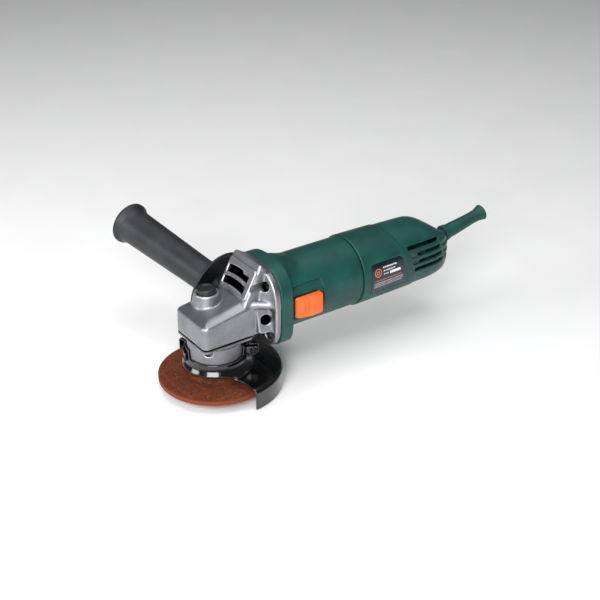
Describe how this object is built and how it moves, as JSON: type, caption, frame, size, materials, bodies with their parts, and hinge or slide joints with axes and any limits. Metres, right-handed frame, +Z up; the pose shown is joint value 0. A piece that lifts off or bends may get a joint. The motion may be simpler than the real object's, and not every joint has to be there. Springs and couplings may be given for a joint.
{
  "type": "angle grinder",
  "caption": "Compact angle grinder: cast gear head with vented hood, round green motor housing and rear cover, slide switch, side handle, half guard and grinding wheel.",
  "frame": {"origin": "centre of the spindle's flat nose face", "axes": "+Z up the spindle from its nose into the gear head, +X back along the motor towards the cord entry, +Y towards the fitted side handle"},
  "size_m": [0.3541, 0.2231, 0.1112],
  "materials": {
    "cast_aluminium": "satin die casting",
    "green_plastic": "fine-textured moulding",
    "green_rubber": "matte moulded rubber",
    "black_plastic": "matte moulding",
    "handle_plastic": "fine-textured moulding",
    "orange_plastic": "satin moulding",
    "white_plastic": "satin moulding",
    "black_paint": "gloss powder coat",
    "abrasive": "resin-bonded grit",
    "steel": "machined",
    "dark_steel": "blackened",
    "lamination": "stacked sheet",
    "copper": "bright",
    "carbon": "dull",
    "label_film": "printed film"
  },
  "bodies": {
    "tool": {"bearing_cover": "cast_aluminium", "spindle_bearing": "steel", "spindle_bush": "copper", "gear_housing": "cast_aluminium", "lock_spring": "steel", "motor_housing": "green_plastic", "rear_cover": "green_plastic", "rating_plate": "label_film", "switch_body": "black_plastic", "capacitor": "white_plastic", "cord_boot": "green_rubber", "cord_clamp": "black_plastic", "front_bearing": "steel", "fan_baffle": "black_plastic", "stator_core": "lamination", "field_coil_upper": "copper", "field_coil_lower": "copper", "rear_bearing": "steel", "brush_holder_upper": "copper", "brush_spring_upper": "steel", "brush_holder_lower": "copper", "brush_spring_lower": "steel", "cover_screw_1": "dark_steel", "housing_screw_1": "dark_steel", "cover_screw_2": "dark_steel", "housing_screw_2": "dark_steel", "cover_screw_3": "dark_steel", "housing_screw_3": "dark_steel", "cover_screw_4": "dark_steel", "housing_screw_4": "dark_steel", "rear_screw_1": "dark_steel", "rear_screw_2": "dark_steel"},
    "spindle_set": {"spindle": "steel", "crown_gear": "dark_steel", "inner_flange": "steel", "grinding_disc": "abrasive", "clamp_nut": "dark_steel"},
    "armature": {"armature_shaft": "steel", "drive_pinion": "dark_steel", "pinion_nut": "dark_steel", "cooling_fan": "white_plastic", "armature_core": "lamination", "front_winding": "copper", "rear_winding": "copper", "commutator": "copper"},
    "guard": {"wheel_guard": "black_paint", "guard_band": "black_paint", "guard_screw": "dark_steel", "guard_nut": "dark_steel"},
    "spindle_lock": {"lock_button": "black_plastic", "lock_pin": "steel"},
    "switch": {"switch_slider": "orange_plastic", "switch_rod": "white_plastic"},
    "side_handle": {"handle_grip": "handle_plastic", "handle_shield": "handle_plastic", "handle_stud": "steel"},
    "upper_brush": {"carbon_brush_upper": "carbon"},
    "lower_brush": {"carbon_brush_lower": "carbon"}
  },
  "joints": [
    {"name": "spindle_spin", "type": "hinge", "parent": "tool", "child": "spindle_set", "pos_m": [0, 0, 0], "axis": [0, 0, 1], "continuous": true},
    {"name": "armature_spin", "type": "hinge", "parent": "tool", "child": "armature", "pos_m": [0.09, 0, 0.0631], "axis": [1, 0, 0], "continuous": true},
    {"name": "guard_turn", "type": "hinge", "parent": "tool", "child": "guard", "pos_m": [0, 0, 0.0135], "axis": [0, 0, 1], "range_deg": [-120, 60]},
    {"name": "spindle_lock_press", "type": "slide", "parent": "tool", "child": "spindle_lock", "axis": [0, 0, -1], "range_m": [0, 0.004], "stiffness_N_per_m": 1000, "springref_m": -0.002, "deforming": ["lock_spring"]},
    {"name": "switch_slide", "type": "slide", "parent": "tool", "child": "switch", "axis": [-1, 0, 0], "range_m": [0, 0.005]},
    {"name": "side_handle_unscrew", "type": "slide", "parent": "tool", "child": "side_handle", "axis": [-0.2041, 0.9602, 0.1908], "range_m": [0, 0.012]},
    {"name": "upper_brush_slide", "type": "slide", "parent": "tool", "child": "upper_brush", "axis": [0, 0, 1], "range_m": [0, 0.002], "stiffness_N_per_m": 500, "springref_m": -0.005, "deforming": ["brush_spring_upper"]},
    {"name": "lower_brush_slide", "type": "slide", "parent": "tool", "child": "lower_brush", "axis": [0, 0, -1], "range_m": [0, 0.002], "stiffness_N_per_m": 500, "springref_m": -0.005, "deforming": ["brush_spring_lower"]}
  ],
  "couplings": [
    {"joint": "armature_spin", "follows": "spindle_spin", "ratio": 3}
  ]
}
